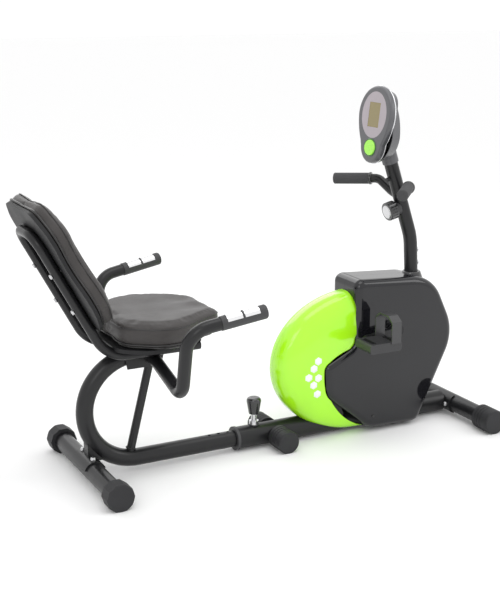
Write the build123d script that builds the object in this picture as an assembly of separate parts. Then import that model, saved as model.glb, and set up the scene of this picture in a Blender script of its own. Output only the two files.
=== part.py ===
from build123d import *
import math
import os

# Recumbent magnetic exercise bike, in millimetres. X runs forward from the rider to the console,
# Y to the rider's left, Z up. While it is built, X is measured from the rear stabiliser's axis;
# at the end every piece is shifted so that the origin is the bottom centre of the bounding box.

# ---- driving dimensions -------------------------------------------------------------------
wheelbase = 1120.0            # rear stabiliser axis to front stabiliser axis
stabiliser_half = 233.0       # half length of both stabilisers, over their end caps
stabiliser_tube_d = 50.0
end_cap_d = 68.8
rear_cap_length = 42.0
front_cap_length = 66.0
rear_cap_sides = 10
foot_flat = 1.0               # how deep the floor flat is cut into each round cap
middle_x = 535.0              # middle support
middle_half = 95.0
middle_tube_d = 44.0
middle_cap_d = 61.8
middle_cap_length = 62.0
tube_wall = 2.0

rail_d = 45.0                 # the sliding C-shaped seat tube
rail_bend = 139.0             # centreline radius of the C
rail_bend_x = 134.0
rail_top_end = 150.0
beam_d = 60.0                 # sleeve and main beam
sleeve_mouth = 422.0
pin_x = 476.0
pin_d = 8.0
hole_pitch = 27.0
steps_back = 3                # pin holes in front of and behind the one used at rest
steps_forward = 5
pin_travel = 9.0
pin_drawn_gap = 2.0

strut_d = 22.0
strut_foot_x = 115.0
armrest_d = 32.0
armrest_x = 168.0
armrest_z = 306.0
armrest_low = (153.0, 252.0, 272.0)
armrest_high = (146.0, 304.0, 445.0)
armrest_tip = (337.0, 321.0, 476.0)
grip_d = 35.0
grip_length = 112.0

hoop_d = 25.0                 # backrest hoop
hoop_half = 66.0
hoop_level = 335.0
hoop_corner_x = 36.0
hoop_lean = 28.3
hoop_rise = 360.0
hoop_front_x = 285.0

bracket_wall = 4.0
seat_board = 10.0
seat_thickness = 70.0
seat_rear_x = 62.0
seat_front_x = 344.0
seat_half = 186.0
seat_nose_half = 86.0
backrest_length = 350.0
backrest_start = 80.0         # from the hoop's lower corner, along its legs
backrest_half = 172.0
backrest_waist = 140.0
backrest_shoulder = 156.0
backrest_board_t = 9.0
backrest_cushion_t = 42.0

casing_half = 66.0            # black casing, half width
casing_edge = 20.0
casing_wall = 3.0
green_half = 60.0             # green casing, half width at the seam
green_edge = 40.0
green_centre = (790.0, 208.0)
green_radii = (258.0, 201.0)
seam_gap = 0.6
casing_top = 447.0
casing_rear_x = 757.0
casing_front_x = 1081.0
casing_floor_gap = 8.0

axle_x = 876.0                # crank axle
axle_z = 300.0
crank_length = 98.0
crank_angle = 188.0           # where the right crank points, 180 is level towards the rider
crank_plane = 84.0            # inner face of the crank arms from the middle
crank_arm_t = 13.0
pedal_size = (100.0, 76.0, 26.0)
shell_d = 42.0
crank_axle_d = 17.0
pulley_d = 200.0
belt_plane = -28.0
belt_width = 10.0
flywheel_x = 672.0
flywheel_z = 222.0
flywheel_d = 200.0
flywheel_width = 22.0
flywheel_y = 4.0
small_pulley_d = 28.0

post_d = 38.0
post_foot = (978.6, 418.0)
post_knee = (971.0, 538.0)
post_tip = (881.0, 800.0)
post_bend = 170.0
stem_foot_x = 970.0
stem_top = 511.0
post_bolt_levels = (462.0, 499.0)
handlebar_d = 25.0
handlebar_level = 661.0
handlebar_elbow = (-18.4, 75.0, 35.9)
handlebar_reach = (-85.5, 91.9, -6.2)
foam_d = 31.4
knob_level = 628.0
knob_d = 52.0

console_centre = (852.0, 856.0)
console_lean = 7.0
console_height = 206.0
console_top_r = 78.0
console_bottom_r = 50.0
console_front_t = 16.0
console_back_t = 32.0

running = 0.08                # radial clearance of a running fit
snug = 0.1                    # radial clearance of fixed pieces that slip together
skin_gap = 0.5                # between bodies that only pass each other
bolt_d = 8.0

# ---- worked out from the driving dimensions ------------------------------------------------
axis_z = end_cap_d / 2 - foot_flat
middle_z = middle_cap_d / 2 - foot_flat
rail_top_z = axis_z + 2 * rail_bend
rail_tip = pin_x + steps_back * hole_pitch + 26.0
beam_bore = beam_d - 2 * tube_wall
beam_end = wheelbase - stabiliser_tube_d / 2


def ring(outer_d, inner_d, length, middle=(0, 0, 0), turn=(0, 0, 0)):
    """A straight tube centred on a point, along Z before it is turned."""
    return Location(middle, turn) * (Cylinder(outer_d / 2, length) - Cylinder(inner_d / 2, length))


def rod(diameter, start, end):
    """A solid round bar between two points."""
    line = Line(start, end)
    return extrude(Plane(origin=line @ 0, z_dir=line % 0) * Circle(diameter / 2), line.length)


def path_of(points, radii):
    """Straight runs joined by tangent arcs."""
    return FilletPolyline(*points, radius=radii)


def bar_along(path, diameter):
    """A solid round bar along a path."""
    return sweep(Plane(origin=path @ 0, z_dir=path % 0) * Circle(diameter / 2), path=path)


def tube_along(path, diameter, wall):
    """A round tube along a path."""
    return bar_along(path, diameter) - bar_along(path, diameter - 2 * wall)


def mirrored(shape):
    """The same piece on the other side of the bike."""
    return mirror(shape, Plane.XZ)


def group(*shapes):
    """Separate solids kept side by side in one node."""
    return Compound(children=[solid for shape in shapes for solid in shape.solids()])


def slab(face, half):
    """The face widened to both sides of the middle plane."""
    return extrude(face, half, both=True)


# ---- stabilisers and middle support ---------------------------------------------------------
def cap(diameter, length, tube_d, centre_z, x, half, floor=6.0, sides=0):
    """A moulded end cap: a cup over the tube's end, ribbed or many-sided, with a flat foot."""
    start = half - length
    body = Location((x, start + length / 2, centre_z), (90, 0, 0)) * Cylinder(diameter / 2, length)
    body = fillet(body.edges().group_by(Axis.Y)[-1], 4.0)
    if sides:
        profile = RegularPolygon(diameter / 2, sides, major_radius=False, rotation=90 + 180 / sides)
        prism = extrude(Plane((x, start - 1.0, centre_z), x_dir=(1, 0, 0), z_dir=(0, 1, 0)) * profile, length + 2.0)
        body = Location((x, start + length / 2, centre_z), (90, 0, 0)) * Cylinder(diameter / 2 + 2.0, length)
        body = chamfer(body.edges().group_by(Axis.Y)[-1], 4.0) & prism
    for level in range(0 if sides else 3):
        groove_y = start + 12.0 + 11.0 * level
        groove = ring(diameter + 4.0, diameter - 2.0, 2.0, (x, groove_y, centre_z), (90, 0, 0))
        body -= groove
    bore = length - floor
    body -= Location((x, start + bore / 2, centre_z), (90, 0, 0)) * Cylinder(tube_d / 2 + snug, bore)
    body -= Pos(x, half - length / 2, -20.0) * Box(diameter, length + 20.0, 40.0)
    return body


def stabiliser_tube(x):
    """The cross tube, with two bolt holes through it."""
    length = 2 * (stabiliser_half - 6.0 - skin_gap)
    inner = stabiliser_tube_d - 2 * tube_wall
    return ring(stabiliser_tube_d, inner, length, (x, 0, axis_z), (90, 0, 0))


saddle_bolt_y = 38.0
saddle_wall = 4.0
saddle_length = 104.0


def saddle(x, keep):
    """A curved plate that seats on the stabiliser tube; keep is the box that trims the ring."""
    outer = stabiliser_tube_d + 2 * saddle_wall
    return ring(outer, stabiliser_tube_d, saddle_length, (x, 0, axis_z), (90, 0, 0)) & keep


def bolt(start, end, head_d=17.0, head_t=3.6, nut_d=13.0, nut_t=8.0, diameter=bolt_d):
    """A round-headed bolt whose head bears on start and whose domed nut bears on end."""
    line = Line(start, end)
    frame = Plane(origin=line @ 0, z_dir=line % 0)
    shank = Pos(0, 0, line.length / 2) * Cylinder(diameter / 2, line.length)
    head = Pos(0, 0, -head_t / 2) * Cylinder(head_d / 2, head_t)
    head = fillet(head.edges().group_by(Axis.Z)[0], head_t * 0.6)
    nut = Pos(0, 0, line.length + nut_t / 2) * Cylinder(nut_d / 2, nut_t)
    nut = fillet(nut.edges().group_by(Axis.Z)[-1], nut_d * 0.35)
    return frame * (shank + head + nut)


def drill(shape, diameter, start, end):
    """A hole along a line."""
    return shape - rod(diameter, start, end)


bolt_hole_d = bolt_d + 0.6
front_bolt_rows = (-saddle_bolt_y, saddle_bolt_y)


# ---- seat rail: the C-shaped tube that slides in the main beam ------------------------------
def rail_path():
    """Top run, half circle and bottom run of the C."""
    top = Line((rail_top_end, 0, rail_top_z), (rail_bend_x, 0, rail_top_z))
    back = (rail_bend_x - rail_bend, 0, axis_z + rail_bend)
    turn = ThreePointArc(top @ 1, back, (rail_bend_x, 0, axis_z))
    return Wire([top, turn, Line(turn @ 1, (rail_tip, 0, axis_z))])


def seat_rail():
    """The C tube with its row of locking holes along the top of the bottom run."""
    rail = tube_along(rail_path(), rail_d, tube_wall)
    for step in range(-steps_forward, steps_back + 1):
        x = pin_x + step * hole_pitch
        rail = drill(rail, pin_d + 1.0, (x, 0, axis_z), (x, 0, axis_z + rail_d))
    return rail


def rear_saddle():
    """The saddle on the rear stabiliser and the block that carries the C tube on it."""
    keep = Pos(0, 0, axis_z + 8.0 + 30.0) * Box(80.0, saddle_length, 60.0)
    plate = saddle(0.0, keep)
    riser = Pos(18.0, 0, axis_z + 38.0) * Box(46.0, 30.0, 46.0)
    riser -= Location((0, 0, axis_z), (90, 0, 0)) * Cylinder(stabiliser_tube_d / 2 + saddle_wall, 60.0)
    riser -= bar_along(rail_path(), rail_d)
    block = plate + riser.solids().sort_by(SortBy.VOLUME)[-1]
    for y in front_bolt_rows:
        block = drill(block, bolt_hole_d, (0, y, axis_z), (0, y, axis_z + 60.0))
    return block


def rear_stabiliser_tube():
    """The rear cross tube, bolted from below."""
    tube = stabiliser_tube(0.0)
    for y in front_bolt_rows:
        tube = drill(tube, bolt_hole_d, (0, y, 0), (0, y, end_cap_d))
    return tube


# ---- seat support ---------------------------------------------------------------------------
def armrest_path():
    """One tube: level under the seat, out and down, up past the cushion, then forward."""
    right = [(x, -y, z) for x, y, z in (armrest_tip, armrest_high, armrest_low)]
    middle = [(armrest_x, -cheek_reach, armrest_z), (armrest_x, cheek_reach, armrest_z)]
    left = [armrest_low, armrest_high, armrest_tip]
    return path_of(right + middle + left, [60.0, 44.0, 160.0, 160.0, 44.0, 60.0])


cheek_reach = 58.0


def armrest_tube():
    """The bent armrest tube, drilled for its two clamp bolts."""
    return tube_along(armrest_path(), armrest_d, tube_wall)


cheek_inner = rail_d / 2
plate_level = hoop_level + hoop_d / 2


def seat_bracket():
    """Two cheeks round the C tube and the armrest tube, under the plate that carries the seat."""
    plate_length = hoop_front_x - 90.0
    plate = Pos(90.0 + plate_length / 2, 0, plate_level + bracket_wall / 2)
    plate *= Box(plate_length, 2 * hoop_half + hoop_d, bracket_wall)
    outline = Polyline(
        (92.0, plate_level), (212.0, plate_level), (196.0, armrest_z - 24.0), (104.0, armrest_z - 24.0), close=True
    )
    cheek = extrude(Plane.XZ.offset(cheek_inner) * make_face(outline), bracket_wall)
    body = plate + cheek + mirrored(cheek)
    hole_d = armrest_d + 2 * snug
    body = drill(body, hole_d, (armrest_x, -cheek_reach, armrest_z), (armrest_x, cheek_reach, armrest_z))
    for x, y in seat_bolt_places:
        body = drill(body, bolt_hole_d, (x, y, plate_level - 1.0), (x, y, plate_level + bracket_wall + 1.0))
    return body


seat_bolt_places = [(x, y) for x in (112.0, 262.0) for y in (-38.0, 38.0)]


def strut():
    """The straight strut from the C tube's bottom run up to the armrest tube."""
    foot = (strut_foot_x, 0, axis_z + rail_d / 2 - 4.0)
    head = (armrest_x + 10.0, 0, armrest_z - 6.0)
    body = rod(strut_d, foot, head)
    body -= bar_along(rail_path(), rail_d)
    body -= rod(armrest_d, (armrest_x, -40.0, armrest_z), (armrest_x, 40.0, armrest_z))
    return body.solids().sort_by(SortBy.VOLUME)[-1]


def along_hoop(distance, out=0.0, y=0.0):
    """A point on the backrest hoop's slope, and out towards the rider from its centreline."""
    lean = math.radians(hoop_lean)
    x = hoop_corner_x - distance * math.sin(lean) + out * math.cos(lean)
    z = hoop_level + distance * math.cos(lean) + out * math.sin(lean)
    return (x, y, z)


def hoop_path():
    """Both legs start under the seat, bend up at its rear and meet over the top."""
    right = [(hoop_front_x, -hoop_half, hoop_level), (hoop_corner_x, -hoop_half, hoop_level)]
    top = [along_hoop(hoop_rise, 0, -hoop_half), along_hoop(hoop_rise, 0, hoop_half)]
    left = [(x, -y, z) for x, y, z in reversed(right)]
    return path_of(right + top + left, [90.0, 42.0, 42.0, 90.0])


backrest_bolt_rows = (149.0, 255.0)


def backrest_hoop():
    """The inverted U that carries the backrest, drilled for its four bolts."""
    hoop = tube_along(hoop_path(), hoop_d, tube_wall)
    for distance in backrest_bolt_rows:
        for y in (-hoop_half, hoop_half):
            hoop = drill(hoop, 6.6, along_hoop(distance, -20.0, y), along_hoop(distance, 20.0, y))
    return hoop


# ---- seat and backrest pads -----------------------------------------------------------------
def drawn_in(face, inset):
    """A flat outline made smaller all round, by scaling it about the middle of its box."""
    box = face.bounding_box()
    size = box.size
    middle = Pos(box.center().X, box.center().Y)
    shares = ((size.X - 2 * inset) / size.X, (size.Y - 2 * inset) / size.Y, 1.0)
    return middle * scale(middle.inverse() * face, by=shares)


def both_sides(points, radii):
    """A closed outline, symmetric about X, from its corners on one side and their radii."""
    other = [(x, -y) for x, y in reversed(points)]
    outline = FilletPolyline(*points, *other, radius=[*radii, *reversed(radii)], close=True)
    return make_face(outline)


def seat_outline(inset):
    """The seat from above: a wide rounded rear, then thighs cut in to a narrower nose."""
    corners = [(seat_rear_x, seat_half * 0.62), (seat_rear_x + 112.0, seat_half * 1.05),
               (seat_front_x, seat_nose_half)]
    return drawn_in(both_sides(corners, [76.0, 96.0, 46.0]), inset)


seat_base_z = plate_level + bracket_wall
seat_crown = ((0.0, 26.0), (0.45, 2.0), (0.7, 0.0), (0.85, 4.0), (0.95, 12.0), (1.0, 24.0))
backrest_crown = ((0.0, 3.0), (0.55, 0.0), (0.8, 4.0), (0.94, 12.0), (1.0, 24.0))
seat_tray_inset = 28.0


def crowned(outline, thickness, steps):
    """A pad with rounded edges: its outline drawn in by a step's inset at that share of its thickness."""
    body = None
    for lower, upper in zip(steps, steps[1:]):
        faces = [Pos(0, 0, share * thickness) * outline(inset) for share, inset in (lower, upper)]
        layer = loft(faces, ruled=True)
        body = layer if body is None else body + layer
    return body


def seat_base():
    """The seat's moulded under-tray, on the bracket plate."""
    tray = Pos(0, 0, seat_base_z) * extrude(seat_outline(seat_tray_inset), seat_board)
    tray -= bar_along(hoop_path(), hoop_d + 2 * skin_gap)
    for x, y in seat_bolt_places:
        tray = drill(tray, bolt_hole_d, (x, y, seat_base_z - 1.0), (x, y, seat_base_z + seat_board + 1.0))
    return tray


def seat_cushion():
    """The foam pad with its cover, crowned over the tray."""
    base_z = seat_base_z + seat_board + skin_gap
    pad = Pos(0, 0, base_z) * crowned(seat_outline, seat_thickness, seat_crown)
    for x, y in seat_bolt_places:
        pad = drill(pad, nut_pocket_d, (x, y, base_z - 1.0), (x, y, base_z + nut_pocket_depth))
    return pad


nut_pocket_d = 16.0
nut_pocket_depth = 10.0


def backrest_plane(out):
    """A plane square to the hoop's legs: its x runs up the slope and its normal faces the rider."""
    lean = math.radians(hoop_lean)
    return Plane(
        origin=along_hoop(backrest_start, out), x_dir=(-math.sin(lean), 0, math.cos(lean)),
        z_dir=(math.cos(lean), 0, math.sin(lean))
    )


def backrest_outline(inset):
    """The backrest from the front: broad at the loins, a waist, then rounded shoulders."""
    top = backrest_length
    corners = [(0.0, backrest_half * 0.66), (92.0, backrest_half * 1.06), (top * 0.55, backrest_waist * 0.96),
               (top - 62.0, backrest_shoulder * 1.05), (top, backrest_shoulder * 0.66)]
    return drawn_in(both_sides(corners, [70.0, 80.0, 110.0, 60.0, 55.0]), inset)


board_out = hoop_d / 2
pad_out = board_out + backrest_board_t + skin_gap


def backrest_board():
    """The moulded back panel, against the hoop's legs."""
    board = backrest_plane(board_out) * extrude(backrest_outline(5.0), backrest_board_t)
    for distance in backrest_bolt_rows:
        for y in (-hoop_half, hoop_half):
            board = drill(board, 6.6, along_hoop(distance, board_out - 2, y), along_hoop(distance, pad_out, y))
    return board


def backrest_cushion():
    """The foam pad with its cover."""
    pad = backrest_plane(pad_out) * crowned(backrest_outline, backrest_cushion_t, backrest_crown)
    for distance in backrest_bolt_rows:
        for y in (-hoop_half, hoop_half):
            pad = drill(pad, nut_pocket_d, along_hoop(distance, board_out, y), along_hoop(distance, pad_out + 6.0, y))
    return pad


def seat_frame_bolts():
    """Bolts of the rear stabiliser, the seat, the backrest and the armrest tube."""
    bolts = []
    for y in front_bolt_rows:
        bolts.append(bolt((0, y, axis_z - stabiliser_tube_d / 2), (0, y, axis_z + saddle_outer_r)))
    for x, y in seat_bolt_places:
        bolts.append(bolt((x, y, plate_level), (x, y, seat_base_z + seat_board)))
    for distance in backrest_bolt_rows:
        for y in (-hoop_half, hoop_half):
            ends = [along_hoop(distance, out, y) for out in (-hoop_d / 2, pad_out - skin_gap)]
            bolts.append(bolt(*ends, head_d=13.0, head_t=5.0, nut_d=11.0, nut_t=4.0, diameter=6.0))
    return group(*bolts)


saddle_outer_r = stabiliser_tube_d / 2 + saddle_wall


# ---- armrest grips --------------------------------------------------------------------------
def armrest_frame():
    """A plane at the left armrest's tip, looking back along its straight run, its x upwards."""
    back = Vector(*armrest_high) - Vector(*armrest_tip)
    return Plane(origin=armrest_tip, x_dir=(0, 0, 1), z_dir=back)


def armrest_grip():
    """A plastic pulse grip over the left armrest's tip, closed at its end."""
    lead = 5.0
    body = Pos(0, 0, (grip_length - lead) / 2) * Cylinder(grip_d / 2, grip_length + lead)
    body = fillet(body.edges().group_by(Axis.Z)[0], 5.0)
    body -= Pos(0, 0, (grip_length + lead) / 2) * Cylinder(armrest_d / 2 + snug, grip_length + lead)
    for start in plate_starts:
        body -= Pos(0, 0, start + plate_length / 2) * plate_block(skin_gap / 2)
    return armrest_frame() * body


plate_starts = (16.0, 60.0)
plate_length = 38.0


def plate_block(grow):
    """The upper part of a thin shell round the grip: the shape of one pulse plate."""
    shell = Cylinder(grip_d / 2 + 0.8 + grow, plate_length + 2 * grow)
    shell -= Cylinder(grip_d / 2 - 1.2 - grow, plate_length + 4 * grow + 2)
    reach = grip_d
    return shell & Pos(reach / 2 + 5.0 - grow, 0, 0) * Box(reach, 2 * reach, plate_length + 2 * grow)


def pulse_plates():
    """Two pressed steel contact plates on top of each grip."""
    plates = [armrest_frame() * Pos(0, 0, start + plate_length / 2) * plate_block(0) for start in plate_starts]
    return group(*plates, *[mirrored(plate) for plate in plates])


# ---- main beam, sleeve and supports ---------------------------------------------------------
def main_beam():
    """The straight beam: the rail's sleeve at the rear, welded to the front saddle."""
    length = beam_end - sleeve_mouth
    beam = ring(beam_d, beam_bore, length, (sleeve_mouth + length / 2, 0, axis_z), (0, 90, 0))
    beam -= Location((wheelbase, 0, axis_z), (90, 0, 0)) * Cylinder(saddle_outer_r, beam_d + 10.0)
    return drill(beam, pin_d + 4.0, (pin_x, 0, axis_z), (pin_x, 0, axis_z + beam_d))


def sleeve_bushes():
    """Plastic bushes that the rail slides in: one flanged at the mouth, one further in."""
    bore = rail_d + 2 * running
    length = 20.0
    outside = beam_bore - 2 * snug
    lip = 8.0
    mouth = ring(outside, bore, length + lip, (sleeve_mouth + (length - lip) / 2, 0, axis_z), (0, 90, 0))
    flange = ring(beam_d + 4.0, bore, lip - snug, (sleeve_mouth - (lip + snug) / 2, 0, axis_z), (0, 90, 0))
    inner_x = rail_tip - steps_back * hole_pitch - length / 2
    inner = ring(outside, bore, 14.0, (inner_x, 0, axis_z), (0, 90, 0))
    return group(mouth + flange, inner)


def middle_tubes():
    """Two stubs welded to the sides of the beam."""
    inner = middle_tube_d - 2 * tube_wall
    length = 2 * (middle_half - 6.0 - skin_gap)
    stubs = ring(middle_tube_d, inner, length, (middle_x, 0, middle_z), (90, 0, 0))
    stubs -= Location((middle_x, 0, axis_z), (0, 90, 0)) * Cylinder(beam_d / 2, middle_tube_d + 20.0)
    return group(stubs)


def middle_caps():
    """The ribbed caps on both stubs, cut round the beam where they meet it."""
    part = cap(middle_cap_d, middle_cap_length, middle_tube_d, middle_z, middle_x, middle_half)
    return group(part, mirrored(part))


def front_saddle():
    """The curved plate at the beam's front end, bolted to the front stabiliser."""
    keep = Pos(wheelbase - 8.0 - 30.0, 0, axis_z) * Box(60.0, saddle_length, 80.0)
    plate = saddle(wheelbase, keep)
    for y in front_bolt_rows:
        plate = drill(plate, bolt_hole_d, (wheelbase, y, axis_z), (wheelbase - 60.0, y, axis_z))
    return plate


def front_stabiliser_tube():
    """The front cross tube, bolted through from the front."""
    tube = stabiliser_tube(wheelbase)
    for y in front_bolt_rows:
        tube = drill(tube, bolt_hole_d, (wheelbase - 60.0, y, axis_z), (wheelbase + 60.0, y, axis_z))
    return tube


# ---- pull pin -------------------------------------------------------------------------------
beam_top = axis_z + beam_d / 2
pin_tip = axis_z + rail_d / 2 + pin_drawn_gap
boss_top = beam_top + 12.0
barrel_top = boss_top + 24.0
knob_base = barrel_top - 4.0
knob_top = knob_base + 46.0


def pin_housing():
    """A welded boss on the sleeve with a screwed barrel that guides the pin."""
    boss = Pos(pin_x, 0, (axis_z + boss_top) / 2) * Cylinder(13.0, boss_top - axis_z)
    boss -= Location((pin_x, 0, axis_z), (0, 90, 0)) * Cylinder(beam_d / 2, 60.0)
    barrel = Pos(pin_x, 0, (boss_top + barrel_top) / 2) * Cylinder(8.0, barrel_top - boss_top)
    body = boss + barrel
    return drill(body, pin_d + 2 * running, (pin_x, 0, axis_z), (pin_x, 0, barrel_top + 1.0))


def pull_pin():
    """The steel locking pin, drawn clear of the rail."""
    return rod(pin_d, (pin_x, 0, pin_tip), (pin_x, 0, knob_top - 12.0))


def pull_knob():
    """The tapered mushroom knob moulded on the pin."""
    taper = 34.0
    knob = Pos(pin_x, 0, knob_base + taper / 2) * Cone(14.0, 20.0, taper)
    head = Pos(pin_x, 0, (knob_base + taper + knob_top) / 2) * Cylinder(20.0, knob_top - knob_base - taper)
    knob += fillet(head.edges().group_by(Axis.Z)[-1], 9.0)
    pocket = barrel_top + pin_travel + 1.0
    knob = drill(knob, 16.0 + 2 * skin_gap, (pin_x, 0, knob_base - 1.0), (pin_x, 0, pocket))
    return drill(knob, pin_d, (pin_x, 0, pocket - 1.0), (pin_x, 0, knob_top - 12.0))


# ---- stem, drive bracket and drive ----------------------------------------------------------
bore_post = post_d - 2 * tube_wall
stem_d = bore_post - 2 * snug


def post_path():
    """The console post: nearly upright at its foot, then leaning back over the rider's feet."""
    points = [(x, 0, z) for x, z in (post_foot, post_knee, post_tip)]
    return path_of(points, [post_bend])


def on_stem(level):
    """The point of the lower straight line of the post at a height."""
    slope = (post_knee[0] - post_foot[0]) / (post_knee[1] - post_foot[1])
    return (post_foot[0] + slope * (level - post_foot[1]), 0, level)


stem_knee = 396.0


def post_stem():
    """The upright welded on the beam; the console post slips over its top."""
    path = path_of([(stem_foot_x, 0, axis_z), on_stem(stem_knee), on_stem(stem_top)], [200.0])
    stem = tube_along(path, stem_d, tube_wall)
    stem -= Location((wheelbase / 2, 0, axis_z), (0, 90, 0)) * Cylinder(beam_d / 2, wheelbase * 1.2)
    stem = stem.solids().sort_by(Axis.Z)[-1]
    for level in post_bolt_levels:
        x = on_stem(level)[0]
        stem = drill(stem, bolt_hole_d, (x, 0, level), (x + 30.0, 0, level))
    return stem - bar_along(cable_path(), cable_d + 4.0)


plate_t = 5.0
plate_right_y = belt_plane - belt_width / 2 - 5.0
plate_left_y = flywheel_y + flywheel_width / 2 + 8.0


def drive_bracket():
    """Side plates welded to the beam that hold the flywheel axle, and the crank shell's mast."""
    pivot_x, pivot_z = brake_pivot
    outline = FilletPolyline(
        (pivot_x - 9.0, pivot_z + 8.0), (pivot_x - 9.0, pivot_z - 20.0), (flywheel_x - 4.0, beam_top - 6.0),
        (flywheel_x + 66.0, beam_top - 6.0), (pivot_x + 24.0, pivot_z + 8.0), radius=6.0, close=True
    )
    face = Plane.XZ * make_face(outline)
    plates = []
    for y in (plate_right_y, plate_left_y):
        plate = Pos(0, y, 0) * extrude(face, plate_t / 2, both=True)
        plate = drill(plate, axle_d, (flywheel_x, y - 10.0, flywheel_z), (flywheel_x, y + 10.0, flywheel_z))
        plates.append(plate)
    reach = plate_left_y - plate_right_y
    middle_y = (plate_left_y + plate_right_y) / 2
    foot = Pos(flywheel_x + 32.0, middle_y, beam_top - 1.0) * Box(68.0, reach, 8.0)
    seat = Location((flywheel_x, 0, axis_z), (0, 90, 0)) * Cylinder(beam_d / 2, 400.0)
    shell_y = shell_left - shell_half
    shell = ring(shell_d, shell_d - 7.0, 2 * shell_half, (axle_x, shell_y, axle_z), (90, 0, 0))
    mast = rod(32.0, (axle_x + 26.0, shell_y, beam_top - 20.0), (axle_x, shell_y, axle_z))
    mast -= Location((axle_x, 0, axis_z), (0, 90, 0)) * Cylinder(beam_d / 2, 400.0)
    mast -= Location((axle_x, shell_y, axle_z), (90, 0, 0)) * Cylinder(shell_d / 2, 120.0)
    mast = mast.solids().sort_by(SortBy.VOLUME)[-1]
    pivot = rod(6.0, (pivot_x, plate_right_y, pivot_z), (pivot_x, plate_left_y, pivot_z))
    return group(plates[0] + foot + plates[1] + pivot - seat, shell + mast)


axle_d = 12.0
shell_half = 30.0
shell_left = 40.0
bearing_d = shell_d - 7.0
bearing_t = 11.0


def crank_bearings():
    """The ball bearings at both ends of the crank shell, drawn as plain rings."""
    places = (shell_left - bearing_t / 2 - 1.0, shell_left - 2 * shell_half + bearing_t / 2 + 1.0)
    bore = crank_axle_d + 2 * running
    return group(*[ring(bearing_d, bore, bearing_t, (axle_x, y, axle_z), (90, 0, 0)) for y in places])


def crank_axle():
    """The crank axle, through the shell and both arms."""
    half = crank_plane + crank_arm_t
    return rod(crank_axle_d, (axle_x, -half, axle_z), (axle_x, half, axle_z))


def crank_pulley():
    """The large ribbed pulley, fixed on the axle beside the shell."""
    wheel = ring(pulley_d, crank_axle_d, belt_width + 4.0, (axle_x, belt_plane, axle_z), (90, 0, 0))
    wheel -= ring(pulley_d + 10.0, pulley_d - 4.0, belt_width, (axle_x, belt_plane, axle_z), (90, 0, 0))
    for turn in range(0, 360, 60):
        spot = (axle_x + 60.0 * math.cos(math.radians(turn)), axle_z + 60.0 * math.sin(math.radians(turn)))
        wheel = drill(wheel, 38.0, (spot[0], belt_plane - 20.0, spot[1]), (spot[0], belt_plane + 20.0, spot[1]))
    return wheel


def crank_point(side, distance):
    """A point on a crank arm's middle line; side is -1 on the right and 1 on the left."""
    angle = math.radians(crank_angle + (0 if side < 0 else 180))
    return (axle_x + distance * math.cos(angle), axle_z + distance * math.sin(angle))


def crank_arm(side):
    """One forged crank arm, from its boss on the axle to the pedal eye."""
    y = side * (crank_plane + crank_arm_t / 2)
    eye = crank_point(side, crank_length)
    boss = Location((axle_x, y, axle_z), (90, 0, 0)) * Cylinder(16.0, crank_arm_t)
    tip = Location((eye[0], y, eye[1]), (90, 0, 0)) * Cylinder(13.0, crank_arm_t)
    middle = crank_point(side, crank_length / 2)
    web = Location((middle[0], y, middle[1]), (0, -crank_angle, 0)) * Box(crank_length, crank_arm_t, 22.0)
    arm = boss + tip + web
    arm = drill(arm, crank_axle_d, (axle_x, y - 20.0, axle_z), (axle_x, y + 20.0, axle_z))
    return drill(arm, spindle_d, (eye[0], y - 20.0, eye[1]), (eye[0], y + 20.0, eye[1]))


spindle_d = 12.0
pedal_inner = crank_plane + crank_arm_t + 8.0


def pedal_spindle(side):
    """The spindle screwed into a crank arm, with the flange that the pedal runs against."""
    x, z = crank_point(side, crank_length)
    end = pedal_inner + pedal_size[1] - 10.0
    spindle = rod(spindle_d, (x, side * crank_plane, z), (x, side * end, z))
    start = crank_plane + crank_arm_t
    return spindle + rod(19.0, (x, side * start, z), (x, side * (start + 4.0), z))


def pedal(side):
    """One moulded pedal on its spindle: a block with rounded ends and a rib along each tread."""
    x, z = crank_point(side, crank_length)
    length, width, height = pedal_size
    y = side * (pedal_inner + width / 2)
    body = Pos(x, y, z) * Box(length, width, height)
    body = fillet(body.edges().filter_by(Axis.Y), 9.0)
    for offset in (-0.3, 0.3):
        slot = Pos(x + offset * length, y, z) * Box(14.0, width - 22.0, height + 2.0)
        body -= slot
    hole_end = pedal_inner + width - 10.0 + 2.0
    return drill(body, spindle_d + 2 * running, (x, side * (pedal_inner - 2), z), (x, side * hole_end, z))


strap_width = 30.0
strap_t = 3.0
strap_rise = 66.0


def pedal_strap(side):
    """The moulded strap: up the pedal's outer side, over the foot and down to its inner side."""
    x, z = crank_point(side, crank_length)
    width = pedal_size[1]
    low = z + pedal_size[2] / 2 - 4.0
    top = z + pedal_size[2] / 2 + strap_rise
    y_in = side * pedal_inner
    y_out = side * (pedal_inner + width)

    def loop(grow):
        sign = side * grow
        return [(y_in - sign, low), (y_in - sign, top - 14.0 + grow), (y_in - sign + side * 20.0, top + grow),
                (y_out + sign - side * 20.0, top + grow), (y_out + sign, top - 14.0 + grow), (y_out + sign, low)]

    outline = Polyline(*loop(strap_t), *reversed(loop(0.0)), close=True)
    face = Plane.YZ * make_face(outline)
    return Pos(x + strap_shift, 0, 0) * extrude(face, strap_width / 2, both=True)


strap_shift = 30.0


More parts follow.
